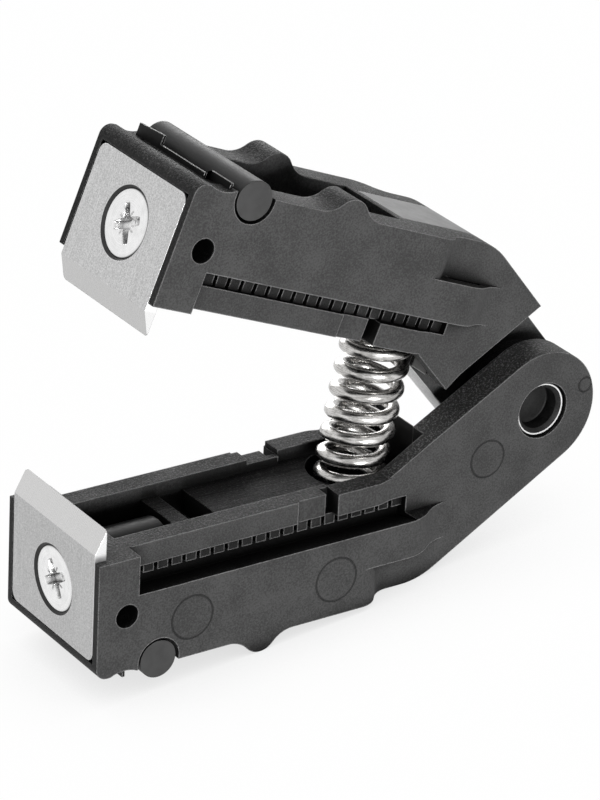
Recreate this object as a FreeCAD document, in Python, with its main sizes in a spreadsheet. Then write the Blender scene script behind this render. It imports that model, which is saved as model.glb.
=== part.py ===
import FreeCAD, Part
import math
import os
import re
import Sketcher

os.makedirs("parts", exist_ok=True)
doc = FreeCAD.newDocument("BladeBlock")

# Sizes of the blade block in millimetres and degrees.
# Jaw places: reach is from the blade front towards the rear, depth is from the hinge height outwards.
SIZES = {
    "open_angle": 21.5,
    "pivot_reach": 54.0,
    "neck_angle": 30.0,
    "ear_radius": 6.45,
    "pin_radius": 3.0,
    "pin_fit": 0.03,
    "hinge_clearance": 0.06,
    "pin_socket_radius": 2.25,
    "pin_socket_depth": 2.4,
    "pin_mouth_radius": 2.75,
    "pin_mouth_depth": 0.8,
    "pin_edge": 0.12,
    "lap_gap": 0.1,
    "half_width": 8.5,
    "arm_half": 6.33,
    "lower_ear_inner": 2.7,
    "plate_inner": 0.1,
    "plate_outer": 3.6,
    "hub_radius": 5.2,
    "face_depth": 3.3,
    "neck_start": 35.1,
    "end_face_reach": 40.4,
    "end_corner_reach": 41.5,
    "end_corner_depth": 2.1,
    "end_heel_reach": 48.4,
    "back_depth": 15.8,
    "heel_round": 8.0,
    "front_round": 1.2,
    "lobe_reach": 18.95,
    "lobe_peak": 17.55,
    "lobe_round": 2.0,
    "lobe_hollow": 3.0,
    "cheek_depth": 11.6,
    "lip_depth": 7.5,
    "cheek_start": 31.2,
    "cheek_finish": 35.5,
    "rail_start": 36.5,
    "rail_finish": 42.7,
    "front_block": 4.6,
    "stop_block_start": 24.3,
    "stop_block_half": 6.05,
    "slit_start": 27.7,
    "slit_finish": 28.75,
    "slit_cut": 1.6,
    "rear_block_start": 33.4,
    "rear_block_finish": 35.9,
    "rear_block_half": 6.8,
    "strip_depth": 5.7,
    "groove_root": 4.9,
    "groove_floor": 8.5,
    "groove_finish": 37.4,
    "rib_depth": 6.9,
    "rib_half": 5.75,
    "rib_first": 6.7,
    "rib_pitch": 1.63,
    "rib_width": 1.2,
    "rib_count": 19,
    "blade_thick": 1.3,
    "blade_half": 7.6,
    "blade_bottom": 14.2,
    "blade_tip": 0.1,
    "blade_bevel": 2.5,
    "blade_corner": 1.0,
    "blade_tip_round": 0.4,
    "blade_seat_gap": 0.1,
    "screw_depth": 8.56,
    "screw_head": 3.62,
    "screw_sunk": 0.2,
    "screw_neck": 1.95,
    "screw_finish": 10.0,
    "screw_gap": 0.06,
    "cross_half": 1.6,
    "cross_wide": 0.3,
    "cross_deep": 1.5,
    "bush_radius": 3.7,
    "bush_start": 4.65,
    "bush_finish": 11.8,
    "bush_gap": 0.3,
    "chamber_start": 4.3,
    "chamber_finish": 12.4,
    "chamber_half": 4.1,
    "ledge_depth": 4.7,
    "well_start": 14.3,
    "well_finish": 17.25,
    "back_channel_start": 14.3,
    "back_channel_finish": 28.0,
    "back_channel_half": 4.7,
    "back_channel_floor": 7.3,
    "fore_channel_start": 10.4,
    "fore_channel_floor": 13.5,
    "notch_start": 25.0,
    "notch_finish": 28.9,
    "notch_deep": 0.5,
    "side_hole_reach": 3.3,
    "side_hole_depth": 9.5,
    "side_hole_radius": 1.25,
    "side_hole_length": 3.0,
    "roller_reach": 7.07,
    "roller_depth": 15.24,
    "roller_radius": 2.0,
    "cradle_radius": 2.32,
    "valley_reach": 3.1,
    "valley_rise": 3.05,
    "valley_radius": 3.4,
    "roller_end_gap": 0.1,
    "clip_front": 3.0,
    "clip_thick": 0.35,
    "clip_half": 6.1,
    "clip_cut_low": 1.1,
    "clip_cut_high": 1.4,
    "clip_foot": 13.3,
    "clip_sill": 15.0,
    "clip_tip": 16.9,
    "clip_low_tip": 16.45,
    "clip_gap": 0.1,
    "spring_reach": 34.7,
    "spring_pocket": 4.5,
    "pocket_floor": 6.5,
    "wire_sides": 8,
    "turn_sides": 24,
    "spring_radius": 3.05,
    "wire_radius": 0.72,
    "spring_pitch": 2.3,
    "spring_end_gap": 0.95,
    "cutter_start": 29.0,
    "cutter_half": 3.9,
    "cutter_thick": 1.9,
    "cutter_narrow": 2.4,
    "cutter_step": 41.6,
    "cutter_gap": 0.1,
    "cutter_finish": 44.1,
    "cutter_bar_front": 40.6,
    "cutter_bar_rear": 42.2,
    "cutter_edge": 0.3,
    "cutter_shoulder": 3.2,
    "ledge_slot_start": 34.6,
    "ledge_slot_finish": 39.2,
    "ledge_slot_wide": 1.2,
    "ledge_slot_half": 7.1,
}

sheet = doc.addObject("Spreadsheet::Sheet", "Sizes")
for row, (name, value) in enumerate(SIZES.items(), start=1):
    sheet.set("A%d" % row, name)
    sheet.set("B%d" % row, str(value))
    sheet.setAlias("B%d" % row, name)
doc.recompute()

# Places worked out from the sizes, kept as text so that every sketch follows the sheet.
TOP_TANGENT = "(pivot_reach - ear_radius * sin(neck_angle))"
TOP_HEIGHT = "(ear_radius * cos(neck_angle))"
EAR_FRONT = "(pivot_reach + ear_radius * cos(neck_angle))"
HEEL_TANGENT = "(pivot_reach + ear_radius * sin(neck_angle))"
HEEL_REACH = "(" + HEEL_TANGENT + " - (back_depth - " + TOP_HEIGHT + ") / tan(neck_angle))"
HEEL_FLAT = "(" + HEEL_REACH + " - heel_round * tan(neck_angle / 2))"
HEEL_CUT = "heel_round * tan(neck_angle / 2)"
HEEL_END = "(" + HEEL_REACH + " + " + HEEL_CUT + " * cos(neck_angle))"
HEEL_RISE = "(back_depth - " + HEEL_CUT + " * sin(neck_angle))"


# The block lies on its two lobes and its rounded heel, so its tilt and height follow from their sizes.
LOBE_RISE = "(back_depth + lobe_hollow - lobe_peak + lobe_round)"
LOBE_RUN = "sqrt((lobe_round + lobe_hollow) ^ 2 - " + LOBE_RISE + " ^ 2)"
LOBE_SHARE = "(lobe_round / (lobe_round + lobe_hollow))"
HEEL_TO_LOBE = "(" + HEEL_FLAT + " - lobe_reach)"
LOBE_DROP = "(lobe_peak - lobe_round - back_depth + heel_round)"
REST_TILT = ("((acos((heel_round - lobe_round) / sqrt(" + HEEL_TO_LOBE + " ^ 2 + " + LOBE_DROP + " ^ 2)) - atan("
             + HEEL_TO_LOBE + " / " + LOBE_DROP + ")) / 1 deg)")
REST_HEIGHT = ("(heel_round + (back_depth - heel_round) * cos(" + REST_TILT + ") - (pivot_reach - " + HEEL_FLAT
               + ") * sin(" + REST_TILT + "))")
# The middle of the block's length is the frame's origin.
PIVOT_PLACE = ("(((pivot_reach - front_round) * cos(" + REST_TILT + ") + (back_depth - front_round) * sin("
               + REST_TILT + ") + front_round - ear_radius) / 2)")
WORKED_OUT = {"rest_tilt": REST_TILT, "rest_height": REST_HEIGHT, "pivot_place": PIVOT_PLACE}


def onNeckTop(reach):
    return "(face_depth - (" + reach + " - neck_start) * tan(neck_angle))"


def onHeel(reach):
    return "(" + TOP_HEIGHT + " + (" + HEEL_TANGENT + " - (" + reach + ")) * tan(neck_angle))"


def underHeel(reach):
    return "(" + onHeel(reach) + " - cutter_thick / cos(neck_angle))"


STRIP_BEND = "(" + HEEL_REACH + " - cutter_thick * tan(neck_angle / 2))"


def bound(text):
    """Put the sheet's name before every size named in an expression."""
    for name, worked in WORKED_OUT.items():
        text = text.replace(name, worked)
    return re.sub(r"\b[a-z][a-z_]+\b", lambda hit: "Sizes." * (hit.group(0) in SIZES) + hit.group(0), text)


def number(text):
    value = doc.Sizes.evalExpression(bound(text))
    return float(getattr(value, "Value", value))


def holdPoint(sketch, edge, end, across, up):
    for kind, text in (("DistanceX", across), ("DistanceY", up)):
        index = sketch.addConstraint(Sketcher.Constraint(kind, -1, 1, edge, end, number(text)))
        sketch.setExpression("Constraints[%d]" % index, bound(text))


def drawOutline(sketch, points):
    """Closed outline; a third and fourth entry make the next edge an arc: radius and left or right centre."""
    first = sketch.GeometryCount
    ends = []
    for spot, point in enumerate(points):
        after = points[(spot + 1) % len(points)]
        start = FreeCAD.Vector(number(point[0]), number(point[1]), 0)
        finish = FreeCAD.Vector(number(after[0]), number(after[1]), 0)
        if len(point) == 2:
            edge = sketch.addGeometry(Part.LineSegment(start, finish))
            ends.append((edge, 1, 2))
            continue
        side = 1 if point[3] == "left" else -1
        radius = number(point[2])
        chord = finish - start
        rise = math.sqrt(max(radius * radius - chord.Length * chord.Length / 4, 0))
        normal = FreeCAD.Vector(-chord.y, chord.x, 0).normalize() * side
        centre = (start + finish) * 0.5 + normal * rise
        low, high = (start, finish) if side > 0 else (finish, start)
        turn = [math.atan2(end.y - centre.y, end.x - centre.x) for end in (low, high)]
        circle = Part.Circle(centre, FreeCAD.Vector(0, 0, 1), radius)
        edge = sketch.addGeometry(Part.ArcOfCircle(circle, turn[0], turn[1]))
        ends.append((edge, 1, 2) if side > 0 else (edge, 2, 1))
        index = sketch.addConstraint(Sketcher.Constraint("Radius", edge, radius))
        sketch.setExpression("Constraints[%d]" % index, bound(point[2]))
    for spot, (edge, start, finish) in enumerate(ends):
        follow = ends[(spot + 1) % len(ends)]
        sketch.addConstraint(Sketcher.Constraint("Coincident", edge, finish, follow[0], follow[1]))
        holdPoint(sketch, edge, start, points[spot][0], points[spot][1])
    return first


def drawBox(sketch, left, low, right, high):
    drawOutline(sketch, [(left, low), (right, low), (right, high), (left, high)])


def drawCircle(sketch, across, up, radius):
    centre = FreeCAD.Vector(number(across), number(up), 0)
    edge = sketch.addGeometry(Part.Circle(centre, FreeCAD.Vector(0, 0, 1), number(radius)))
    holdPoint(sketch, edge, 3, across, up)
    index = sketch.addConstraint(Sketcher.Constraint("Radius", edge, number(radius)))
    sketch.setExpression("Constraints[%d]" % index, bound(radius))


def addSketch(body, role, offset):
    plane = [item for item in body.Origin.OriginFeatures if item.Role == role][0]
    sketch = body.newObject("Sketcher::SketchObject", body.Name + "Sketch")
    sketch.AttachmentSupport = (plane, "")
    sketch.MapMode = "FlatFace"
    sketch.setExpression("AttachmentOffset.Base.z", bound(offset))
    return sketch


def addStep(body, kind, sketch, length):
    step = body.newObject("PartDesign::" + kind, body.Name + kind)
    step.Profile = sketch
    step.setExpression("Length", bound(length))
    sketch.Visibility = False
    body.Tip = step
    return step


def addSides(body, low, high, kind="Pad"):
    """Sketch on the side plane for a step that fills or cuts between two places across the width."""
    offset = "-(" + high + ")" if kind == "Pad" else "-(" + low + ")"
    sketch = addSketch(body, "XZ_Plane", offset)
    step = addStep(body, kind, sketch, "(" + high + ") - (" + low + ")")
    return sketch, step


def addDepths(body, near, far, kind="Pad"):
    """Sketch seen from the working face for a step that fills or cuts between two depths."""
    offset = "-(" + far + ")" if kind == "Pad" else "-(" + near + ")"
    sketch = addSketch(body, "XY_Plane", offset)
    step = addStep(body, kind, sketch, "(" + far + ") - (" + near + ")")
    return sketch, step


def addReaches(body, front, rear, kind="Pad"):
    """Sketch seen from the front for a step that fills or cuts between two reaches."""
    offset = front if kind == "Pad" else rear
    sketch = addSketch(body, "YZ_Plane", offset)
    step = addStep(body, kind, sketch, "(" + rear + ") - (" + front + ")")
    return sketch, step


def placeLower(body):
    body.setExpression("Placement", bound(
        "placement(vector(pivot_place - pivot_reach * cos(rest_tilt); 0; "
        "rest_height + pivot_reach * sin(rest_tilt)); rotation(vector(0; 1; 0); rest_tilt))"))


def placeUpper(body):
    body.setExpression("Placement", bound(
        "placement(vector(pivot_place - pivot_reach * cos(rest_tilt + open_angle); 0; "
        "rest_height + pivot_reach * sin(rest_tilt + open_angle)); "
        "rotation(vector(cos((rest_tilt + open_angle) / 2); 0; -sin((rest_tilt + open_angle) / 2)); 180))"))


def newPiece(name, upper):
    body = doc.addObject("PartDesign::Body", "Piece")
    body.Label = name
    (placeUpper if upper else placeLower)(body)
    doc.recompute()
    return body


def mirrorBoxes(sketch, left, inner, right, outer):
    """The same box on both sides of the middle plane, seen from the working face."""
    drawBox(sketch, left, inner, right, outer)
    drawBox(sketch, left, "-(" + outer + ")", right, "-(" + inner + ")")


def shoulderOutline(start, finish, half, inner):
    """One side wall seen from the working face, running out to the arm with a rounded shoulder."""
    middle = "((" + start + " + " + finish + ") / 2)"
    level = "((" + half + " + " + inner + ") / 2)"
    radius = "(((" + finish + " - " + start + ") ^ 2 + (" + half + " - " + inner + ") ^ 2) / (4 * (" + half + " - " + inner + ")))"
    return middle, level, radius


def addShoulders(body, near, far, front, start, finish, half, inner, root):
    sketch, step = addDepths(body, near, far)
    middle, level, radius = shoulderOutline(start, finish, half, inner)
    drawOutline(sketch, [
        (front, root),
        (finish, root),
        (finish, inner, radius, "right"),
        (middle, level, radius, "left"),
        (start, half),
        (front, half)])
    drawOutline(sketch, [
        (front, "-(" + root + ")"),
        (front, "-(" + half + ")"),
        (start, "-(" + half + ")", radius, "left"),
        (middle, "-(" + level + ")", radius, "right"),
        (finish, "-(" + inner + ")"),
        (finish, "-(" + root + ")")])
    return step


def cutterSpans(upper):
    """Width of the cutter's heel strip and of its upright bar, which pass beside the hinge plates."""
    if upper:
        return "-cutter_half", "cutter_narrow", "lap_gap", "cutter_narrow"
    return "-cutter_narrow", "cutter_half", "-cutter_narrow", "cutter_half"


def buildJaw(name, upper):
    body = newPiece(name, upper)
    # middle of the jaw between the side walls, with the end face and the heel
    sketch, step = addSides(body, "-arm_half", "arm_half")
    drawOutline(sketch, [
        ("0", "-face_depth"),
        ("0", "-(back_depth - front_round)", "front_round", "left"),
        ("front_round", "-back_depth"),
        (HEEL_FLAT, "-back_depth", "heel_round", "left"),
        (HEEL_END, "-" + HEEL_RISE),
        ("end_heel_reach", "-" + onHeel("end_heel_reach")),
        ("end_corner_reach", "-end_corner_depth"),
        ("end_face_reach", "-" + onNeckTop("end_face_reach")),
        ("neck_start", "-face_depth")])
    # cheeks with the rounded shoulders, the rail lip, and the blocks beside the detent strip
    addShoulders(body, "cheek_depth", "lobe_peak", "0", "cheek_start", "cheek_finish", "half_width", "arm_half", "back_channel_half")
    addShoulders(body, "lip_depth", "cheek_depth", "0", "rail_start", "rail_finish", "half_width", "arm_half", "back_channel_half")
    sketch, step = addDepths(body, "face_depth", "lip_depth")
    mirrorBoxes(sketch, "0", "chamber_half", "front_block", "half_width")
    sketch, step = addDepths(body, "face_depth", "strip_depth")
    mirrorBoxes(sketch, "slit_finish", "chamber_half", "rear_block_start", "rear_block_half")
    addShoulders(body, "face_depth", "strip_depth", "slit_finish", "rear_block_start", "rear_block_finish",
                 "rear_block_half", "arm_half", "back_channel_half")
    # everything beyond the back outline comes away, which leaves the two rounded lobes
    sketch, step = addSides(body, "-half_width - blade_thick", "half_width + blade_thick", "Pocket")
    drawOutline(sketch, [
        ("-front_round", "-(back_depth - front_round)"),
        ("0", "-(back_depth - front_round)", "front_round", "left"),
        ("front_round", "-back_depth"),
        ("lobe_reach - " + LOBE_RUN, "-back_depth", "lobe_hollow", "right"),
        ("lobe_reach - " + LOBE_RUN + " * " + LOBE_SHARE,
         "-(lobe_peak - lobe_round + " + LOBE_RISE + " * " + LOBE_SHARE + ")", "lobe_round", "left"),
        ("lobe_reach + " + LOBE_RUN + " * " + LOBE_SHARE,
         "-(lobe_peak - lobe_round + " + LOBE_RISE + " * " + LOBE_SHARE + ")", "lobe_hollow", "right"),
        ("lobe_reach + " + LOBE_RUN, "-back_depth"),
        (HEEL_FLAT, "-back_depth", "heel_round", "left"),
        (HEEL_END, "-" + HEEL_RISE),
        ("end_heel_reach", "-" + onHeel("end_heel_reach")),
        ("end_heel_reach", "-(lobe_peak + front_round)"),
        ("-front_round", "-(lobe_peak + front_round)")])
    # undercut rail groove on both sides, with its sloping floor
    sketch, step = addReaches(body, "front_block", "groove_finish", "Pocket")
    for side in ("", "-"):
        points = [
            (side + "(half_width + blade_thick)", "-lip_depth"),
            (side + "half_width", "-lip_depth"),
            (side + "groove_root", "-groove_floor"),
            (side + "groove_root", "-strip_depth"),
            (side + "(half_width + blade_thick)", "-strip_depth")]
        drawOutline(sketch, points)
    # detent ribs standing in the groove
    sketch, step = addReaches(body, "rib_first", "rib_first + rib_width")
    drawBox(sketch, "groove_root", "-rib_depth", "rib_half", "-strip_depth")
    drawBox(sketch, "-rib_half", "-rib_depth", "-groove_root", "-strip_depth")
    body.Tip = step
    doc.recompute()
    ribs = body.newObject("PartDesign::LinearPattern", body.Name + "Ribs")
    ribs.Originals = [step]
    axis = [item for item in body.Origin.OriginFeatures if item.Role == "X_Axis"][0]
    ribs.Direction = (axis, [""])
    ribs.setExpression("Length", bound("rib_pitch * (rib_count - 1)"))
    ribs.setExpression("Occurrences", bound("rib_count"))
    body.Tip = ribs
    # slit behind the stop block, and the slot under the cheek's ledge
    sketch, step = addDepths(body, "face_depth", "strip_depth", "Pocket")
    mirrorBoxes(sketch, "slit_start", "arm_half - slit_cut", "slit_finish", "half_width")
    sketch, step = addDepths(body, "face_depth", "strip_depth", "Pocket")
    mirrorBoxes(sketch, "stop_block_start", "stop_block_half", "slit_start", "half_width")
    sketch, step = addDepths(body, "cheek_depth - ledge_slot_wide", "cheek_depth", "Pocket")
    mirrorBoxes(sketch, "ledge_slot_start", "arm_half", "ledge_slot_finish", "ledge_slot_half")
    # blade seat
    sketch, step = addReaches(body, "-blade_thick", "blade_thick", "Pocket")
    drawBox(sketch, "-(blade_half + blade_seat_gap)", "-(blade_bottom + blade_seat_gap)", "blade_half + blade_seat_gap", "-face_depth + blade_thick")
    # chambers in the working face, the long one running into the spring well
    sketch, step = addDepths(body, "face_depth - blade_thick", "ledge_depth", "Pocket")
    drawOutline(sketch, [
        ("chamber_start", "-chamber_half"),
        ("slit_finish", "-chamber_half"),
        ("slit_finish", "-spring_pocket"),
        ("spring_reach", "-spring_pocket"),
        ("spring_reach", "spring_pocket"),
        ("slit_finish", "spring_pocket"),
        ("slit_finish", "chamber_half"),
        ("chamber_start", "chamber_half")])
    sketch, step = addDepths(body, "face_depth", "screw_depth", "Pocket")
    drawBox(sketch, "chamber_start", "-chamber_half", "chamber_finish", "chamber_half")
    sketch, step = addReaches(body, "chamber_start", "chamber_finish", "Pocket")
    drawCircle(sketch, "0", "-screw_depth", "bush_radius + bush_gap")
    sketch, step = addReaches(body, "0", "chamber_start + bush_gap", "Pocket")
    drawCircle(sketch, "0", "-screw_depth", "screw_head - blade_thick + screw_gap * 2")
    sketch, step = addDepths(body, "face_depth", "back_channel_floor + front_round", "Pocket")
    drawBox(sketch, "well_start", "-chamber_half", "well_finish", "chamber_half")
    # open channel along the back
    sketch, step = addDepths(body, "back_channel_floor", "lobe_peak + front_round", "Pocket")
    drawBox(sketch, "back_channel_start", "-back_channel_half", "back_channel_finish", "back_channel_half")
    sketch, step = addDepths(body, "fore_channel_floor", "lobe_peak + front_round", "Pocket")
    drawBox(sketch, "fore_channel_start", "-back_channel_half", "back_channel_start + front_round", "back_channel_half")
    # shallow notch in the top of the lower jaw's far wall
    if not upper:
        sketch, step = addSides(body, "0", "half_width", "Pocket")
        drawBox(sketch, "notch_start", "-(face_depth + notch_deep)", "notch_finish", "-(face_depth - notch_deep)")
    # cross hole in both cheeks
    for low, high in (("half_width - side_hole_length", "half_width"), ("-half_width", "-half_width + side_hole_length")):
        sketch, step = addSides(body, low, high, "Pocket")
        drawCircle(sketch, "side_hole_reach", "-side_hole_depth", "side_hole_radius")
    # roller cradle open to the back, and the slot of the clip in front of it
    sketch, step = addSides(body, "-half_width - blade_thick", "half_width + blade_thick", "Pocket")
    drawOutline(sketch, [
        ("roller_reach - cradle_radius", "-(back_depth + front_round)"),
        ("roller_reach - cradle_radius", "-roller_depth", "cradle_radius", "right"),
        ("roller_reach", "-(roller_depth - cradle_radius)", "cradle_radius", "right"),
        ("roller_reach + cradle_radius", "-roller_depth"),
        ("roller_reach + cradle_radius", "-(back_depth + front_round)")])
    sketch, step = addSides(body, "-(clip_half + clip_gap)", "clip_half + clip_gap", "Pocket")
    drawBox(sketch, "clip_front", "-(back_depth + front_round)", "roller_reach", "-clip_foot")
    # shallow valley across the back, which leaves a lip in front of the roller
    sketch, step = addSides(body, "-half_width", "half_width", "Pocket")
    drawCircle(sketch, "valley_reach", "-(back_depth + valley_rise)", "valley_radius")
    # spring well, round in front and square towards the cutter's bar
    sketch, step = addDepths(body, "0", "pocket_floor", "Pocket")
    drawOutline(sketch, [
        ("spring_reach", "-spring_pocket"),
        ("cutter_bar_front - cutter_gap", "-spring_pocket"),
        ("cutter_bar_front - cutter_gap", "spring_pocket"),
        ("spring_reach", "spring_pocket", "spring_pocket", "left"),
        ("spring_reach - spring_pocket", "0", "spring_pocket", "left")])
    # seat of the cutter in the heel and behind the spring pocket
    stripLow, stripHigh, legLow, legHigh = cutterSpans(upper)
    sketch, step = addSides(body, "-(cutter_half + cutter_gap)", "cutter_half + cutter_gap", "Pocket")
    drawOutline(sketch, [
        ("cutter_start - cutter_gap", "-(back_depth + front_round)"),
        ("cutter_start - cutter_gap", "-(back_depth - cutter_thick)"),
        (STRIP_BEND, "-(back_depth - cutter_thick)"),
        ("cutter_step + cutter_gap", "-" + underHeel("cutter_step + cutter_gap")),
        ("cutter_step + cutter_gap", "-(back_depth + front_round)")])
    sketch, step = addSides(body, stripLow + " - cutter_gap", stripHigh + " + cutter_gap", "Pocket")
    drawOutline(sketch, [
        ("cutter_bar_front - cutter_gap", "-(back_depth + front_round)"),
        ("cutter_bar_front - cutter_gap", "-" + underHeel("cutter_bar_front - cutter_gap")),
        ("end_heel_reach", "-" + underHeel("end_heel_reach")),
        ("end_heel_reach", "-(back_depth + front_round)")])
    sketch, step = addSides(body, legLow + " - cutter_gap", legHigh + " + cutter_gap", "Pocket")
    drawBox(sketch, "cutter_bar_front - cutter_gap", "-(back_depth - cutter_thick)", "end_heel_reach", "0")
    # hinge side
    neckRoot = [
        ("end_face_reach", "-" + onNeckTop("end_face_reach")),
        ("end_face_reach", "-(" + underHeel("end_face_reach") + " - cutter_gap)")]
    if upper:
        sketch, step = addSides(body, "-arm_half", "lower_ear_inner - lap_gap")
        drawCircle(sketch, "pivot_reach", "0", "hub_radius")
        low, high, rootEnd = "-plate_outer", "-plate_inner", "cutter_finish + cutter_gap"
    else:
        low, high, rootEnd = "-arm_half", "-lower_ear_inner", "cutter_step + cutter_gap"
    neckRoot.append((rootEnd, "-(" + underHeel(rootEnd) + " - cutter_gap)"))
    neckRoot.append((rootEnd, "-" + onHeel(rootEnd)))
    sketch, step = addSides(body, low, high)
    drawOutline(sketch, neckRoot + [
        (HEEL_TANGENT, "-" + TOP_HEIGHT, "ear_radius", "left"),
        (EAR_FRONT, "ear_radius * sin(neck_angle)", "ear_radius", "left"),
        (TOP_TANGENT, TOP_HEIGHT)])
    sketch, step = addSides(body, "-half_width", "half_width", "Pocket")
    drawCircle(sketch, "pivot_reach", "0", "pin_radius + hinge_clearance" if upper else "pin_radius + pin_fit")
    return body


def buildBlade(name, upper):
    body = newPiece(name, upper)
    sketch, step = addReaches(body, "0", "blade_thick")
    drawOutline(sketch, [
        ("-blade_half", "-(blade_tip + blade_tip_round)"),
        ("-blade_half", "-(blade_bottom - blade_corner)", "blade_corner", "left"),
        ("-blade_half + blade_corner", "-blade_bottom"),
        ("blade_half - blade_corner", "-blade_bottom", "blade_corner", "left"),
        ("blade_half", "-(blade_bottom - blade_corner)"),
        ("blade_half", "-(blade_tip + blade_tip_round)", "blade_tip_round", "left"),
        ("blade_half - blade_tip_round", "-blade_tip"),
        ("-blade_half + blade_tip_round", "-blade_tip", "blade_tip_round", "left")])
    # one bevel from the front leaves the cutting edge at the back face
    sketch, step = addSides(body, "-half_width", "half_width", "Pocket")
    drawOutline(sketch, [
        ("-blade_thick", "-blade_bevel"),
        ("0", "-blade_bevel"),
        ("blade_thick", "-blade_tip"),
        ("blade_thick", "blade_thick"),
        ("-blade_thick", "blade_thick")])
    step = addTurned(body, "Groove", [
        ("0", "0"),
        ("0", "screw_head + screw_gap"),
        ("blade_thick", "screw_head - blade_thick + screw_gap"),
        ("blade_thick", "0")])
    return body


def addTurned(body, kind, points):
    """Turn an outline, given as reach and radius, round the screw's axis."""
    sketch = addSketch(body, "XZ_Plane", "0")
    drawOutline(sketch, [(reach, "-screw_depth + " + radius) for reach, radius in points])
    line = sketch.addGeometry(Part.LineSegment(FreeCAD.Vector(0, 0, 0), FreeCAD.Vector(1, 0, 0)), True)
    holdPoint(sketch, line, 1, "-blade_thick", "-screw_depth")
    holdPoint(sketch, line, 2, "blade_thick", "-screw_depth")
    step = body.newObject("PartDesign::" + kind, body.Name + kind)
    step.Profile = sketch
    step.ReferenceAxis = (sketch, ["Axis0"])
    step.Angle = 360
    sketch.Visibility = False
    body.Tip = step
    return step


def buildScrew(name, upper):
    body = newPiece(name, upper)
    addTurned(body, "Revolution", [
        ("screw_sunk", "0"),
        ("screw_sunk", "screw_head - screw_sunk"),
        ("screw_head - screw_neck", "screw_neck"),
        ("screw_finish", "screw_neck"),
        ("screw_finish", "0")])
    sketch, step = addReaches(body, "-blade_thick", "cross_deep", "Pocket")
    drawOutline(sketch, [
        ("-cross_half", "-screw_depth - cross_wide"),
        ("-cross_wide", "-screw_depth - cross_wide"),
        ("-cross_wide", "-screw_depth - cross_half"),
        ("cross_wide", "-screw_depth - cross_half"),
        ("cross_wide", "-screw_depth - cross_wide"),
        ("cross_half", "-screw_depth - cross_wide"),
        ("cross_half", "-screw_depth + cross_wide"),
        ("cross_wide", "-screw_depth + cross_wide"),
        ("cross_wide", "-screw_depth + cross_half"),
        ("-cross_wide", "-screw_depth + cross_half"),
        ("-cross_wide", "-screw_depth + cross_wide"),
        ("-cross_half", "-screw_depth + cross_wide")])
    return body


def buildBush(name, upper):
    body = newPiece(name, upper)
    sketch, step = addReaches(body, "bush_start", "bush_finish")
    drawCircle(sketch, "0", "-screw_depth", "bush_radius")
    drawCircle(sketch, "0", "-screw_depth", "screw_neck + screw_gap")
    return body


def buildRoller(name, upper):
    body = newPiece(name, upper)
    sketch, step = addSides(body, "-(half_width - roller_end_gap)", "half_width - roller_end_gap")
    drawCircle(sketch, "roller_reach", "-roller_depth", "roller_radius")
    return body


def buildClip(name, upper):
    body = newPiece(name, upper)
    sketch, step = addReaches(body, "clip_front", "clip_front + clip_thick")
    drawOutline(sketch, [
        ("-clip_half", "-clip_tip"),
        ("-clip_cut_high", "-clip_tip"),
        ("-clip_cut_high", "-clip_sill"),
        ("-clip_cut_low", "-clip_sill"),
        ("-clip_cut_low", "-clip_low_tip"),
        ("clip_half", "-clip_low_tip"),
        ("clip_half", "-(clip_foot)"),
        ("-clip_half", "-(clip_foot)")])
    return body


def buildCutter(name, upper):
    body = newPiece(name, upper)
    stripLow, stripHigh, legLow, legHigh = cutterSpans(upper)
    # bent strip in the back of the jaw, narrower where it passes the hinge plate
    sketch, step = addSides(body, "-cutter_half", "cutter_half")
    drawOutline(sketch, [
        ("cutter_start", "-back_depth"),
        (HEEL_FLAT, "-back_depth", "heel_round", "left"),
        (HEEL_END, "-" + HEEL_RISE),
        ("cutter_step", "-" + onHeel("cutter_step")),
        ("cutter_step", "-" + underHeel("cutter_step")),
        (STRIP_BEND, "-(back_depth - cutter_thick)"),
        ("cutter_start", "-(back_depth - cutter_thick)")])
    sketch, step = addSides(body, stripLow, stripHigh)
    drawOutline(sketch, [
        (HEEL_END, "-" + HEEL_RISE),
        ("cutter_finish", "-" + onHeel("cutter_finish")),
        ("cutter_finish - cutter_thick * sin(neck_angle)",
         "-(" + onHeel("cutter_finish") + " - cutter_thick * cos(neck_angle))"),
        ("cutter_bar_front", "-" + underHeel("cutter_bar_front"))])
    # upright bar with the cutting edge at the working side
    sketch, step = addSides(body, legLow, legHigh)
    drawOutline(sketch, [
        ("cutter_bar_front", "-" + underHeel("cutter_bar_front")),
        ("cutter_bar_front", "-cutter_edge"),
        ("cutter_bar_rear", "-cutter_shoulder"),
        ("cutter_bar_rear", "-" + underHeel("cutter_bar_rear"))])
    return body


def buildPin():
    body = doc.addObject("PartDesign::Body", "Piece")
    body.Label = "pivot_pin"
    body.setExpression("Placement", bound("placement(vector(pivot_place; 0; rest_height); rotation(vector(0; 1; 0); rest_tilt))"))
    doc.recompute()
    sketch = addSketch(body, "XY_Plane", "0")
    drawOutline(sketch, [
        ("0", "-(arm_half - pin_socket_depth)"),
        ("pin_socket_radius", "-(arm_half - pin_socket_depth)"),
        ("pin_socket_radius", "-(arm_half - pin_mouth_depth)"),
        ("pin_mouth_radius", "-arm_half"),
        ("pin_radius - pin_edge", "-arm_half"),
        ("pin_radius", "-(arm_half - pin_edge)"),
        ("pin_radius", "arm_half - pin_edge"),
        ("pin_radius - pin_edge", "arm_half"),
        ("pin_mouth_radius", "arm_half"),
        ("pin_socket_radius", "arm_half - pin_mouth_depth"),
        ("pin_socket_radius", "arm_half - pin_socket_depth"),
        ("0", "arm_half - pin_socket_depth")])
    step = body.newObject("PartDesign::Revolution", "PinTurn")
    step.Profile = sketch
    step.ReferenceAxis = (sketch, ["V_Axis"])
    step.Angle = 360
    body.Tip = step
    return body


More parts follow.
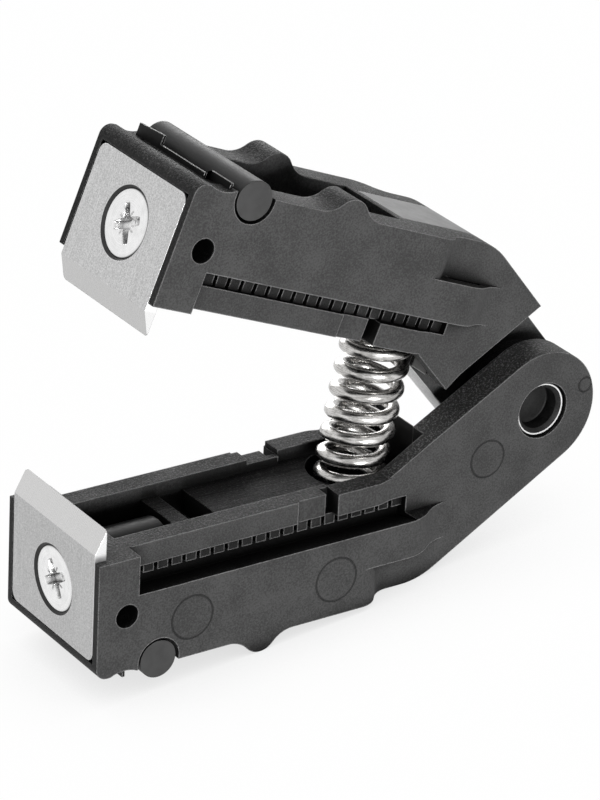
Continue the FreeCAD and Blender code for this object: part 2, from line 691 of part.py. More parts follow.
def buildSpring():
    # the open spring stands between the two pocket floors, half-way between the jaws' directions
    span = "(2 * ((pivot_reach - spring_reach) * sin(open_angle / 2) + pocket_floor * cos(open_angle / 2)) - 2 * spring_end_gap)"
    rise = "(" + span + " - 2 * wire_radius)"
    # straight runs round each turn keep the wire light; the numbers come from the sheet
    sides = int(number("turn_sides"))
    line = doc.addObject("Part::Polygon", "SpringLine")
    line.Nodes = [
        FreeCAD.Vector(
            number("spring_radius") * math.cos(2 * math.pi * step / sides),
            number("spring_radius") * math.sin(2 * math.pi * step / sides),
            number("spring_pitch") * step / sides)
        for step in range(int(number(rise) / number("spring_pitch") * sides) + 1)]
    wire = doc.addObject("Part::RegularPolygon", "SpringWire")
    wire.setExpression("Polygon", bound("wire_sides"))
    wire.setExpression("Circumradius", bound("wire_radius"))
    wire.setExpression("Placement", bound("placement(vector(spring_radius; 0; 0); rotation(vector(1; 0; 0); 90))"))
    sweep = doc.addObject("Part::Sweep", "Spring")
    sweep.Label = "return_spring"
    doc.recompute()
    sweep.Sections = [wire]
    sweep.Spine = (line, ["Edge%d" % (spot + 1) for spot in range(len(line.Shape.Edges))])
    sweep.Solid = True
    sweep.Transition = "Right corner"
    lean = "(rest_tilt + open_angle / 2)"
    reach = "(pivot_reach - spring_reach)"
    floorX = "(pivot_place - " + reach + " * cos(rest_tilt) - pocket_floor * sin(rest_tilt))"
    floorZ = "(rest_height + " + reach + " * sin(rest_tilt) - pocket_floor * cos(rest_tilt))"
    start = "(spring_end_gap + wire_radius)"
    sweep.setExpression("Placement", bound(
        "placement(vector(" + floorX + " + " + start + " * sin(" + lean + "); 0; "
        + floorZ + " + " + start + " * cos(" + lean + ")); rotation(vector(0; 1; 0); " + lean + "))"))
    return sweep


pieces = []
for place, upper in (("lower", False), ("upper", True)):
    pieces.append(buildJaw(place + "_jaw", upper))
    pieces.append(buildBlade(place + "_blade", upper))
    pieces.append(buildScrew(place + "_screw", upper))
    pieces.append(buildBush(place + "_bush", upper))
    pieces.append(buildRoller(place + "_roller", upper))
    pieces.append(buildClip(place + "_clip", upper))
    pieces.append(buildCutter(place + "_cutter", upper))
pieces.append(buildPin())
pieces.append(buildSpring())
doc.recompute()

for item in doc.Objects:
    state = item.State
    if "Invalid" in state or "Error" in state:
        raise RuntimeError("not valid: " + item.Name + " " + item.Label + " " + str(item.getStatusString()))
for piece in pieces:
    shape = piece.Shape
    if shape.isNull() or not shape.isValid() or len(shape.Solids) != 1:
        raise RuntimeError("bad shape: " + piece.Label + " solids " + str(len(shape.Solids)))
    shape.exportStep("parts/" + piece.Label + ".step")
    print(piece.Label, round(shape.Volume, 2), shape.BoundBox)
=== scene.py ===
import math
import bpy
import numpy as np
from mathutils import Matrix, Vector


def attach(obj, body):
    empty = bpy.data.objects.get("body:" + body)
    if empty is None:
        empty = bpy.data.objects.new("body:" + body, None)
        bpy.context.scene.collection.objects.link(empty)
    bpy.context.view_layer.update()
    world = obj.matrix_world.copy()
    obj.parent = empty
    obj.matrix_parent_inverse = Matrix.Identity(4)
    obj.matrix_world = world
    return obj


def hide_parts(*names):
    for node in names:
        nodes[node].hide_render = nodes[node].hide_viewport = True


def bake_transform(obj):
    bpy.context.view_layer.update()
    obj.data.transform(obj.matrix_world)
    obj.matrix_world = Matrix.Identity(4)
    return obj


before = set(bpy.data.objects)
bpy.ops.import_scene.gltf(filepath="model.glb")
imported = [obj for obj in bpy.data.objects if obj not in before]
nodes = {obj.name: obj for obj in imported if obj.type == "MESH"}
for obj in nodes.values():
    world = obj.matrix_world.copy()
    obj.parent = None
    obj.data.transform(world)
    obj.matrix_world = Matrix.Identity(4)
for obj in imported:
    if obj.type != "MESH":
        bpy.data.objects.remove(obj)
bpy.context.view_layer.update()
print("frame loaded:", len(nodes), "solids")


# a socket of a material's node tree that takes part in sums written as plain expressions
class Wire:
    def __init__(self, tree, socket):
        self.tree = tree
        self.socket = socket

    def mathNode(self, operation, *values):
        return self.tree.add("ShaderNodeMath", {"operation": operation}, {i: v for i, v in enumerate(values)})

    def __add__(self, other):
        return self.mathNode("ADD", self, other)

    def __radd__(self, other):
        return self.mathNode("ADD", other, self)

    def __sub__(self, other):
        return self.mathNode("SUBTRACT", self, other)

    def __rsub__(self, other):
        return self.mathNode("SUBTRACT", other, self)

    def __mul__(self, other):
        return self.mathNode("MULTIPLY", self, other)

    def __rmul__(self, other):
        return self.mathNode("MULTIPLY", other, self)

    def __pow__(self, other):
        return self.mathNode("POWER", self, other)

    def __abs__(self):
        return self.mathNode("ABSOLUTE", self)

    def most(self, other):
        return self.mathNode("MAXIMUM", self, other)

    def wave(self):
        return self.mathNode("SINE", self)

    # from out0 at low to out1 at high, easing in and out
    def ramp(self, low, high, out0=0.0, out1=1.0):
        return self.tree.add("ShaderNodeMapRange", {"interpolation_type": "SMOOTHSTEP"},
                             {"Value": self, "From Min": low, "From Max": high, "To Min": out0, "To Max": out1})


# one material: its shader, its nodes and the patterns that several finishes share
class Finish:
    def __init__(self, name, metallic=0.0, specular=0.5):
        self.material = bpy.data.materials.new(name)
        self.material.use_nodes = True
        self.nodes = self.material.node_tree.nodes
        self.links = self.material.node_tree.links
        self.shader = self.nodes["Principled BSDF"]
        self.shader.inputs["Metallic"].default_value = metallic
        self.shader.inputs["Specular IOR Level"].default_value = specular
        self.place = self.add("ShaderNodeTexCoord", {}, {}, "Object")

    @classmethod
    def ofTree(cls, tree):
        shade = cls.__new__(cls)
        shade.nodes, shade.links = tree.nodes, tree.links
        return shade

    # 1 for rays from the camera, off mirrors and through glass, which see the plain white background
    def seen(self):
        kinds = [self.add("ShaderNodeLightPath", {}, {}, kind)
                 for kind in ("Is Camera Ray", "Is Glossy Ray", "Is Transmission Ray")]
        return kinds[0].most(kinds[1]).most(kinds[2])

    # one way in for every node: its type, its settings first, then its sockets
    def add(self, kind, settings, inputs, output=0):
        node = self.nodes.new(kind)
        for key, value in settings.items():
            setattr(node, key, value)
        for key, value in inputs.items():
            if isinstance(value, Wire):
                self.links.new(value.socket, node.inputs[key])
            else:
                node.inputs[key].default_value = value
        return Wire(self, node.outputs[output])

    def part(self, wire):
        split = self.nodes.new("ShaderNodeSeparateXYZ")
        self.links.new(wire.socket, split.inputs[0])
        return [Wire(self, out) for out in split.outputs]

    def turned(self, turn, scale):
        return self.add("ShaderNodeMapping", {"vector_type": "POINT"},
                        {"Vector": self.place, "Location": (0, 0, 0), "Rotation": turn, "Scale": scale})

    def joined(self, x, y, z=0.0):
        return self.add("ShaderNodeCombineXYZ", {}, {0: x, 1: y, 2: z})

    def noise(self, scale, detail=3.0, rough=0.5, where=None):
        return self.add("ShaderNodeTexNoise", {}, {
            "Vector": where or self.place, "Scale": scale, "Detail": detail, "Roughness": rough}, "Fac")

    def colourMix(self, factor, first, second):
        node = self.nodes.new("ShaderNodeMix")
        node.data_type = "RGBA"
        for spot, value in ((0, factor), (6, first), (7, second)):
            if isinstance(value, Wire):
                self.links.new(value.socket, node.inputs[spot])
            else:
                node.inputs[spot].default_value = value
        return Wire(self, node.outputs[2])

    # near 1 on outer edges, where a softened normal departs from the true one and nothing stands close by: the mask for
    # the painted edge highlights
    def corners(self, radius, low=0.02, high=0.16):
        soft = self.add("ShaderNodeBevel", {"samples": 4}, {"Radius": radius})
        true = self.add("ShaderNodeNewGeometry", {}, {}, "Normal")
        same = self.add("ShaderNodeVectorMath", {"operation": "DOT_PRODUCT"}, {0: soft, 1: true}, "Value")
        return (1.0 - same).ramp(low, high) * self.open(radius * 2.5).ramp(0.86, 0.99)

    # 1 in the open, falling towards 0 in gaps, grooves and pockets of about the given size: the mask for painted shade
    def open(self, distance, alone=False):
        return self.add("ShaderNodeAmbientOcclusion", {"samples": 6, "only_local": alone}, {"Distance": distance}, "AO")

    def finish(self, colour, rough, height=None, distance=0.00002, strength=1.0, edge=0.0):
        for key, value in (("Base Color", colour), ("Roughness", rough)):
            if isinstance(value, Wire):
                self.links.new(value.socket, self.shader.inputs[key])
            else:
                self.shader.inputs[key].default_value = value
        normal = None
        if edge:
            normal = self.add("ShaderNodeBevel", {"samples": 6}, {"Radius": edge})
        if height is not None:
            inputs = {"Height": height, "Strength": strength, "Distance": distance}
            if normal is not None:
                inputs["Normal"] = normal
            normal = self.add("ShaderNodeBump", {}, inputs)
        if normal is not None:
            self.links.new(normal.socket, self.shader.inputs["Normal"])
        return self.material


def grey(level, tint=(1.0, 1.0, 1.0)):
    return (level * tint[0], level * tint[1], level * tint[2], 1.0)


# how each jaw lies in the frame: the hinge's place, the tilt as it rests, the opening angle, and the hinge's reach;
# then the height of the blade screws on the jaw and the width between the blade's two ground sides
lay = {
    "hinge": (0.02433986, 0.0, 0.01422012), "tilt": math.radians(5.3407), "open": math.radians(21.5),
    "reach": 0.054, "screwDepth": 0.00856, "bladeHalf": 0.00757,
}


# the place on a jaw as reach from the blade, width, and depth outwards, from the place in the frame
def jawPlace(shade, upper):
    angle = lay["tilt"] + (lay["open"] if upper else 0.0)
    x, y, z = shade.part(shade.place)
    across = x - lay["hinge"][0]
    height = z - lay["hinge"][2]
    reach = across * math.cos(angle) - height * math.sin(angle) + lay["reach"]
    depth = across * math.sin(angle) + height * math.cos(angle)
    return reach, y, (depth if upper else depth * -1.0)


plasticLook = {
    "dark": 0.040, "pale": 0.074, "roughLow": 0.50, "roughHigh": 0.66, "specular": 0.08,
    "gap": 0.0026, "pocket": 0.009, "paintedShade": 0.002,  # size of the gaps and pockets darkened as painted shade, and the tone of that shade
    "paintedEdgeWidth": 0.00020, "paintedEdgeLight": 0.30, "edge": 0.00022,  # width and tone of the painted highlights along the edges, and the edges' rounding
    "grain": 5200.0, "grainHeight": 0.000026, "coarse": 3.5, "glint": 0.20, "glintDark": 0.01,
    "litStripLow": 0.70, "litStripHigh": 0.98, "litStripMetal": 0.9,  # painted highlight: a pale, partly metallic strip on the hinge plate
    "plateReach": 0.0404, "plateDepth": 0.00024, "plateFall": 0.5616, "plateEnd": 0.0500,  # where its edge runs
    # tone of the painted shade in each ejector ring's groove, and the depths of ring and disc
    "ringShade": 0.012, "ringDeep": 5.0, "discDeep": 2.5,
    "dragTone": 0.016, "dragDeep": 2.2, "floorDepth": 0.0047, "floorHalf": 0.0044,
    # reach, depth and radius of each ejector ring
    "marks": ((0.01082, 0.01151, 0.00234), (0.02778, 0.01176, 0.00238), (0.04736, 0.00393, 0.00203),
              (0.05930, -0.00180, 0.00080)),
}


# black glass-filled plastic: mottled grey-black, fine eroded grain, painted shade in gaps and pockets, painted
# highlights on the corners and on the upper hinge plate, painted glints, ejector rings on one side
def plastic(name, upper):
    look = plasticLook
    shade = Finish(name, specular=look["specular"])
    reach, y, depth = jawPlace(shade, upper)
    cloud = shade.noise(260.0, 4.0, 0.6)
    fleck = shade.noise(look["grain"], 2.0, 0.7)  # bright and dark specks
    tone = (cloud * 0.35 + fleck * 0.65).ramp(0.36, 0.64)
    colour = shade.colourMix(tone, grey(look["dark"]), grey(look["pale"]))
    flow = shade.noise(120.0, 3.0, 0.6,  # waves along the way that the plastic flowed
                       where=shade.turned((0, 0.09, 0), (0.35, 1.0, 2.2)))
    # painted shade: gaps and pockets darkened towards a near-black tone
    lit = shade.open(look["gap"]).ramp(0.50, 0.99) * shade.open(look["pocket"], True).ramp(0.30, 0.86, 0.05, 1.0)
    colour = shade.colourMix(lit, grey(look["paintedShade"]), colour)
    # painted highlights: a pale line along the outer edges, broken up by the grain
    paintedEdge = shade.corners(look["paintedEdgeWidth"], 0.03, 0.12) * tone.ramp(-0.6, 0.7)
    colour = shade.colourMix(paintedEdge, colour, grey(look["paintedEdgeLight"]))
    if upper:
        # painted highlight on the front edge of the hinge plate, where that face catches the light: a pale, partly
        # metallic strip near the sloping line of that edge, far half only
        start, end = look["plateReach"], look["plateEnd"]
        slope = abs(depth - look["plateDepth"] + (reach - start) * look["plateFall"])
        paintedLitStrip = (1.0 - slope.ramp(0.00006, 0.00010)) * reach.ramp(start + 0.0001, start + 0.0002)
        paintedLitStrip = paintedLitStrip * y.ramp(0.0, 0.0001) * (1.0 - reach.ramp(end, end + 0.0004))
        litStripTone = shade.colourMix(fleck, grey(look["litStripLow"]), grey(look["litStripHigh"]))
        colour = shade.colourMix(paintedLitStrip, colour, litStripTone)
        shade.links.new((paintedLitStrip * look["litStripMetal"]).socket, shade.shader.inputs["Metallic"])
    rough = (cloud * 0.5 + flow * 0.5).ramp(0.3, 0.7, look["roughLow"], look["roughHigh"])
    grain = shade.noise(look["grain"] * 0.8, 2.0, 0.6)
    # coarser grain on the faces that look up or down, and painted glints: pale specks in their colour, dimmed where the
    # painted shade falls
    upward = abs(shade.part(shade.add("ShaderNodeTexCoord", {}, {}, "Normal"))[2]).ramp(0.35, 0.8)
    height = grain * (1.0 + upward * look["coarse"]) + flow * 0.8
    glint = shade.colourMix(lit, grey(look["glintDark"]), grey(look["glint"]))
    colour = shade.colourMix(upward * fleck.ramp(0.52, 0.66), colour, glint)
    if not upper:
        side = y.ramp(-0.0060, -0.0062)
        for at, down, radius in look["marks"]:
            away = ((reach - at) ** 2.0 + (depth - down) ** 2.0) ** 0.5
            ring = (1.0 - abs(away - radius).ramp(0.00003, 0.00014)) * side
            disc = 1.0 - away.ramp(radius - 0.00008, radius + 0.00008)
            height = height - ring * look["ringDeep"] - disc * side * look["discDeep"]
            # painted shade: each ring's groove darkened
            colour = shade.colourMix(ring * 0.55, colour, grey(look["ringShade"]))
        # drawn tool marks along the floor between the walls
        ledge = 1.0 - abs(depth - look["floorDepth"]).ramp(0.00008, 0.0002)
        ledge = ledge * (1.0 - abs(y).ramp(look["floorHalf"], look["floorHalf"] + 0.0002))
        drag = shade.noise(1.0, 4.0, 0.8, where=shade.joined(reach * 260.0, (y + reach * 0.06) * 5200.0))
        colour = shade.colourMix(ledge * drag.ramp(0.42, 0.62), colour, grey(look["dragTone"]))
        height = height + ledge * drag * look["dragDeep"]
    return shade.finish(colour, rough, height, look["grainHeight"], 1.0, look["edge"])


# each blade's tones and its bevel's differ only by how the light fell on it: painted light; the sides' near-white tone
# is a painted highlight, the countersink's tone painted shade, and the edges' tone a painted highlight
bladeLook = {
    "lower": {"low": 0.36, "high": 0.55, "bevel": 0.66}, "upper": {"low": 0.42, "high": 0.66, "bevel": 0.52},
    "bevelDepth": 0.0025, "side": 0.96, "paintedEdgeLight": 0.80, "sink": 0.02, "sinkRadius": 0.00365,
    "roughLow": 0.28, "roughHigh": 0.44, "tint": (1.0, 0.995, 0.99),
}


# ground blade steel: fine lines down the blade, painted light in each blade's tones and its bevel's, a painted
# highlight on the ground sides, painted shade in the countersink and painted highlights on the edges
def bladeSteel(name, upper):
    look = bladeLook
    own = look["upper" if upper else "lower"]
    shade = Finish(name, metallic=1.0)
    reach, y, depth = jawPlace(shade, upper)
    lines = shade.noise(1.0, 5.0, 0.75, where=shade.joined(y * 9000.0, depth * 160.0, reach * 900.0))
    cloud = shade.noise(180.0, 3.0, 0.6)
    bevel = 1.0 - depth.ramp(look["bevelDepth"] - 0.00005, look["bevelDepth"] + 0.00005)
    grit = shade.noise(6500.0, 2.0, 0.7)
    colour = shade.colourMix((lines * 0.4 + grit * 0.6).ramp(0.38, 0.62), grey(own["low"]), grey(own["high"]))
    # painted light: the bevel's tone, lighter on the lower blade and darker on the upper
    colour = shade.colourMix(bevel * 0.8, colour, grey(own["bevel"], look["tint"]))
    side = abs(y).ramp(lay["bladeHalf"], lay["bladeHalf"] + 0.00002)
    # painted highlight: the ground sides set near white
    colour = shade.colourMix(side * 0.9, colour, grey(look["side"]))
    away = (y ** 2.0 + (depth - lay["screwDepth"]) ** 2.0) ** 0.5
    sink = 1.0 - away.ramp(look["sinkRadius"] - 0.00001, look["sinkRadius"] + 0.00001)
    # painted shade: the countersink round the screw head set near black
    colour = shade.colourMix(sink * 0.95, colour, grey(look["sink"]))
    # painted highlights along the edges
    colour = shade.colourMix(shade.corners(0.00008) * 0.6, colour, grey(look["paintedEdgeLight"]))
    rough = (lines * 0.6 + cloud * 0.4).ramp(0.25, 0.75, look["roughLow"], look["roughHigh"]) - bevel * 0.1
    return shade.finish(colour, rough, lines * (1.0 - bevel * 0.7), 0.000004, 0.9, 0.00010)


# tone, roughness, share of metal, strength of the plain shine, spread of the clouds, size of the grain, tone of the
# painted edge highlights and rounding of the edges
steelLook = {
    "bush": {"level": 0.008, "low": 0.36, "high": 0.50, "metallic": 0.2, "specular": 0.2, "spread": 0.12,
             "grain": 1500.0, "paintedEdgeLight": 0.2, "edge": 0.00010},
    "roller": {"level": 0.058, "low": 0.42, "high": 0.56, "metallic": 0.0, "specular": 0.15, "spread": 0.25,
               "grain": 4500.0, "paintedEdgeLight": 0.12, "edge": 0.00020},
    "clip": {"level": 0.012, "low": 0.34, "high": 0.50, "metallic": 0.3, "specular": 0.2, "spread": 0.12,
             "grain": 1500.0, "paintedEdgeLight": 0.6, "edge": 0.00010},
    # lower cutter: set far darker than the upper one, painted shade for the shadow it lies in behind the spring
    "lower_cutter": {"level": 0.045, "low": 0.30, "high": 0.45, "metallic": 0.5, "specular": 0.5, "spread": 0.12,
                     "grain": 1500.0, "paintedEdgeLight": 0.5, "edge": 0.00012},
    "upper_cutter": {"level": 0.26, "low": 0.50, "high": 0.64, "metallic": 0.6, "specular": 0.2, "spread": 0.3,
                     "grain": 3500.0, "paintedEdgeLight": 0.7, "edge": 0.00012},
}


# blackened or ground steel: soft clouds, fine grain, painted shade in the gaps and painted highlights on the edges
def platedSteel(name, piece):
    look = steelLook[piece]
    shade = Finish(name, metallic=look["metallic"], specular=look["specular"])
    cloud = shade.noise(420.0, 4.0, 0.6)
    fine = shade.noise(look["grain"], 3.0, 0.6)
    colour = shade.colourMix(cloud.ramp(0.3, 0.7), grey(look["level"] * (1 - look["spread"])), grey(look["level"]))
    # painted shade: gaps darkened towards near black
    colour = shade.colourMix(shade.open(0.0016).ramp(0.2, 0.9), grey(0.004), colour)
    # painted highlights along the edges
    colour = shade.colourMix(shade.corners(0.00010) * cloud.ramp(0.2, 0.6), colour, grey(look["paintedEdgeLight"]))
    rough = (cloud * 0.5 + fine * 0.5).ramp(0.3, 0.7, look["low"], look["high"])
    return shade.finish(colour, rough, fine, 0.000004, 0.6, look["edge"])


# the recess and rim tones are painted shade, in the cross recess and on the head's rim in the countersink
zincLook = {"low": 0.74, "high": 0.90, "recess": 0.02, "rim": 0.10, "roughLow": 0.14, "roughHigh": 0.28,
            "paintedShade": {"lower": 0.55, "upper": 0.38}}  # how soon the painted shade in the recess sets in


# bright zinc: faint turned rings on the face, painted shade on the walls of the recess and on the rim where it sinks
# into the countersink
def screwSteel(name, upper):
    look = zincLook
    shade = Finish(name, metallic=1.0)
    reach, y, depth = jawPlace(shade, upper)
    away = (y ** 2.0 + (depth - lay["screwDepth"]) ** 2.0) ** 0.5
    rings = shade.noise(1.0, 3.0, 0.6, where=shade.joined(away * 9000.0, y * 90.0, depth * 90.0))
    cloud = shade.noise(900.0, 3.0, 0.6)
    colour = shade.colourMix((rings * 0.5 + cloud * 0.5).ramp(0.3, 0.7), grey(look["low"]), grey(look["high"]))
    lit = shade.open(0.0006).ramp(look["paintedShade"]["upper" if upper else "lower"], 0.98)
    # painted shade in the cross recess
    colour = shade.colourMix(lit, grey(look["recess"]), colour)
    # painted shade on the rim, where the head sinks into the countersink
    colour = shade.colourMix(away.ramp(0.00322, 0.00334) * 0.8, colour, grey(look["rim"]))
    rough = (rings * 0.6 + cloud * 0.4).ramp(0.3, 0.7, look["roughLow"], look["roughHigh"])
    return shade.finish(colour, rough, rings, 0.000003, 0.6)


wireLook = {"low": 0.26, "lowTint": (1.0, 0.97, 0.93), "high": 0.66, "highTint": (1.0, 0.985, 0.965),
            "roughLow": 0.16, "roughHigh": 0.34}


# drawn wire: the UV runs along and round the wire, so that the draw lines follow it; dark patches lie scattered over it
def wireSteel(name):
    look = wireLook
    shade = Finish(name, metallic=1.0)
    along, around, none = shade.part(shade.add("ShaderNodeUVMap", {}, {}))
    turn = around * math.tau
    lines = shade.noise(1.0, 4.0, 0.7, where=shade.joined(along * 0.8, turn.wave() * 7.0,
                                                          (turn + math.pi / 2).wave() * 7.0))
    patch = shade.noise(700.0, 4.0, 0.65)
    colour = shade.colourMix((lines * 0.55 + patch * 0.45).ramp(0.35, 0.62), grey(look["low"], look["lowTint"]),
                             grey(look["high"], look["highTint"]))
    rough = (lines * 0.6 + patch * 0.4).ramp(0.3, 0.7, look["roughLow"], look["roughHigh"])
    return shade.finish(colour, rough, lines, 0.000006, 0.8)


# the tone of the painted shade in the socket and of the painted highlight on the rim are set here
pinFinish = {"low": 0.006, "high": 0.022, "bottomLow": 0.010, "bottomHigh": 0.026, "paintedShade": 0.001,
             "rimRadius": 0.00273, "rim": 0.80, "roughLow": 0.44, "roughHigh": 0.58, "specular": 0.12}


# blackened pin steel with a painted highlight on the rim and painted shade in the socket; distance from the hinge line
# tells the rim from the socket
def pinSteel(name):
    look = pinFinish
    shade = Finish(name, specular=look["specular"])
    x, y, z = shade.part(shade.place)
    away = ((x - lay["hinge"][0]) ** 2.0 + (z - lay["hinge"][2]) ** 2.0) ** 0.5
    rim = 1.0 - abs(away - look["rimRadius"]).ramp(0.00004, 0.00009)
    cloud = shade.noise(900.0, 4.0, 0.6)
    fine = shade.noise(5200.0, 2.0, 0.6)
    bottom = 1.0 - abs(y).ramp(0.0039, 0.0041)
    colour = shade.colourMix((cloud * 0.5 + fine * 0.5).ramp(0.35, 0.65), grey(look["low"]), grey(look["high"]))
    floor = shade.colourMix(fine, grey(look["bottomLow"]), grey(look["bottomHigh"]))
    colour = shade.colourMix(bottom * 0.8, colour, floor)
    # painted shade: the socket's walls darkened, its bottom mostly spared
    colour = shade.colourMix(shade.open(0.0018).ramp(0.30, 0.95).most(bottom * 0.75), grey(look["paintedShade"]), colour)
    # painted highlight on the rim
    colour = shade.colourMix(rim * 0.9, colour, grey(look["rim"]))
    rough = cloud.ramp(0.3, 0.7, look["roughLow"], look["roughHigh"])
    return shade.finish(colour, rough, fine, 0.000006, 0.7, 0.00005)


materials = {
    "lower_jaw": plastic("lowerJawPlastic", False),
    "upper_jaw": plastic("upperJawPlastic", True),
    "lower_blade": bladeSteel("lowerBladeSteel", False),
    "upper_blade": bladeSteel("upperBladeSteel", True),
    "lower_screw": screwSteel("lowerZincPlating", False),
    "upper_screw": screwSteel("upperZincPlating", True),
    "bush": platedSteel("blackenedBush", "bush"),
    "roller": platedSteel("blackRoller", "roller"),
    "pivot_pin": pinSteel("blackenedPin"),
    "clip": platedSteel("springStrip", "clip"),
    "lower_cutter": platedSteel("shadedCutter", "lower_cutter"),
    "upper_cutter": platedSteel("groundCutter", "upper_cutter"),
    "return_spring": wireSteel("springWire"),
}

# a node takes its own finish, or that of its last word, such as roller
for name, piece in nodes.items():
    found = materials.get(name) or materials.get(name.split("_")[-1])
    piece.data.materials.clear()
    piece.data.materials.append(found)
print("materials given to the solids")


# the place in the frame of a point on a jaw's middle plane: reach and depth turned about the hinge by the jaw's angle
def jawPoint(reach, depth, upper):
    angle = lay["tilt"] + (lay["open"] if upper else 0.0)
    back = reach - lay["reach"]
    rise = depth if upper else -depth
    return np.array((lay["hinge"][0] + back * math.cos(angle) + rise * math.sin(angle), 0.0,
                     lay["hinge"][2] - back * math.sin(angle) + rise * math.cos(angle)))


# a grid of points as a mesh: row i and column j join to i + 1 and j + 1, and the last column to the first;
# caps close both end rows
def gridMesh(name, points, material, uv=None, sharp=None, caps=False):
    rings, sides = points.shape[:2]
    ring = np.arange(rings - 1)[:, None] * sides
    side = np.arange(sides)[None, :]
    follow = (side + 1) % sides
    faces = np.stack([ring + side, ring + follow, ring + sides + follow, ring + sides + side], axis=2).reshape(-1, 4)
    mesh = bpy.data.meshes.new(name)
    ends = [list(range(sides))[::-1], list(range((rings - 1) * sides, rings * sides))] if caps else []
    mesh.from_pydata(points.reshape(-1, 3).tolist(), [], faces.tolist() + ends)
    mesh.polygons.foreach_set("use_smooth", np.ones(len(mesh.polygons), bool))
    if sharp:
        mesh.set_sharp_from_angle(angle=sharp)
    if uv is not None:
        layer = mesh.uv_layers.new(name="UVMap")
        corner = np.stack([np.broadcast_to(value, (rings - 1, sides)) for value in (
            uv[0][:-1, None], side / sides, uv[0][:-1, None], (side + 1) / sides,
            uv[0][1:, None], (side + 1) / sides, uv[0][1:, None], side / sides)], axis=2).reshape(-1)
        full = np.zeros(len(mesh.loops) * 2, np.float32)
        full[:corner.size] = corner
        layer.data.foreach_set("uv", full)
    mesh.materials.append(material)
    piece = bpy.data.objects.new(name, mesh)
    bpy.context.scene.collection.objects.link(piece)
    return piece


springLook = {
    "reach": 0.0347, "floor": 0.0065, "radius": 0.00305, "wire": 0.00072, "pitch": 0.0023, "closedPitch": 0.00146,
    "startHeight": 0.00030, "phase": -1.09, "bend": 0.45, "around": 20, "along": 80, "clear": 0.00002,
}


# compression spring: each point of the wire's path is the centre line plus the radius in the direction of the turning
# angle, and each point of its skin is the path plus the wire's radius round it. The centre line leaves each pocket
# floor squarely and bends between them; the end turns are wound close and ground flat on the floors
def makeSpring():
    look = springLook
    low = jawPoint(look["reach"], look["floor"], False)
    high = jawPoint(look["reach"], look["floor"], True)
    leans = (lay["tilt"], lay["tilt"] + lay["open"])
    out = [np.array((math.sin(a), 0.0, math.cos(a))) for a in leans]
    span = float(np.linalg.norm(high - low))
    # centre line: a cubic through both floor points, square to both floors
    t = np.linspace(0.0, 1.0, 801)[:, None]
    pull = span * look["bend"]
    line = ((2 * t ** 3 - 3 * t ** 2 + 1) * low + (t ** 3 - 2 * t ** 2 + t) * pull * out[0]
            + (3 * t ** 2 - 2 * t ** 3) * high + (t ** 3 - t ** 2) * pull * out[1])
    steps = np.linalg.norm(np.diff(line, axis=0), axis=1)
    run = np.concatenate([[0.0], np.cumsum(steps)])
    lean = np.unwrap(np.arctan2(np.gradient(line[:, 0]), np.gradient(line[:, 2])))
    # height along the line for each part of a turn: close at both ends, open between them
    usable = run[-1] - 2 * look["startHeight"]
    turns = 2.0 + (usable - 2 * look["closedPitch"]) / look["pitch"]
    turn = np.linspace(0.0, turns, int(turns * look["along"]))
    inner = np.clip((np.minimum(turn, turns - turn) - 0.8) / 0.5, 0.0, 1.0)
    pitch = look["closedPitch"] + (look["pitch"] - look["closedPitch"]) * inner * inner * (3 - 2 * inner)
    height = np.concatenate([[0.0], np.cumsum((pitch[1:] + pitch[:-1]) / 2 * np.diff(turn))])
    height = look["startHeight"] + height * usable / height[-1]
    centre = np.stack([np.interp(height, run, line[:, k]) for k in range(3)], axis=1)
    tilt = np.interp(height, run, lean)
    angle = look["phase"] + turn * math.tau
    front = np.stack([np.cos(tilt), np.zeros_like(tilt), -np.sin(tilt)], axis=1)
    radial = front * np.cos(angle)[:, None] + np.array((0.0, 1.0, 0.0)) * np.sin(angle)[:, None]
    path = centre + radial * look["radius"]
    way = np.gradient(path, axis=0)
    way /= np.linalg.norm(way, axis=1)[:, None]
    other = np.cross(way, radial)
    other /= np.linalg.norm(other, axis=1)[:, None]
    outward = np.cross(other, way)
    theta = np.linspace(0.0, math.tau, look["around"], endpoint=False)
    points = path[:, None, :] + look["wire"] * (np.cos(theta)[None, :, None] * outward[:, None, :]
                                                + np.sin(theta)[None, :, None] * other[:, None, :])
    for base, normal in ((low, out[0]), (high, -out[1])):
        above = (points - base) @ normal
        points = points + np.clip(look["clear"] - above, 0.0, None)[:, :, None] * normal
    length = np.concatenate([[0.0], np.cumsum(np.linalg.norm(np.diff(path, axis=0), axis=1))]) / look["wire"]
    piece = gridMesh("springCoil", points, materials["return_spring"], uv=(length,), caps=True)
    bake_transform(piece)
    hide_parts("return_spring")


# an outline of distance and radius turned round a line: centre + distance x line + radius x (cos, sin) of the angle
def turnedPoints(outline, centre, along, side, sides, sink=None):
    along, side = np.array(along, float), np.array(side, float)
    other = np.cross(along, side)
    theta = np.linspace(0.0, math.tau, sides, endpoint=False)
    outline = np.array(outline, float)
    across = outline[:, 1][:, None] * np.cos(theta)[None, :]
    up = outline[:, 1][:, None] * np.sin(theta)[None, :]
    deep = np.broadcast_to(outline[:, 0][:, None], across.shape)
    if sink is not None:
        deep = sink(across, up, deep)
    return np.array(centre) + deep[:, :, None] * along + across[:, :, None] * side + up[:, :, None] * other


# 3 t squared - 2 t cubed, with t running from 0 at low to 1 at high
def smooth(value, low, high):
    t = np.clip((value - low) / (high - low), 0.0, 1.0)
    return t * t * (3 - 2 * t)


screwLook = {
    "face": 0.00020, "flat": 0.00318, "rim": 0.00345, "neck": 0.00195, "tip": 0.0100,
    "half": 0.00212, "wide": 0.00056, "deep": 0.00110, "turns": {"lower": -0.53, "upper": -0.455}, "sides": 300,
}


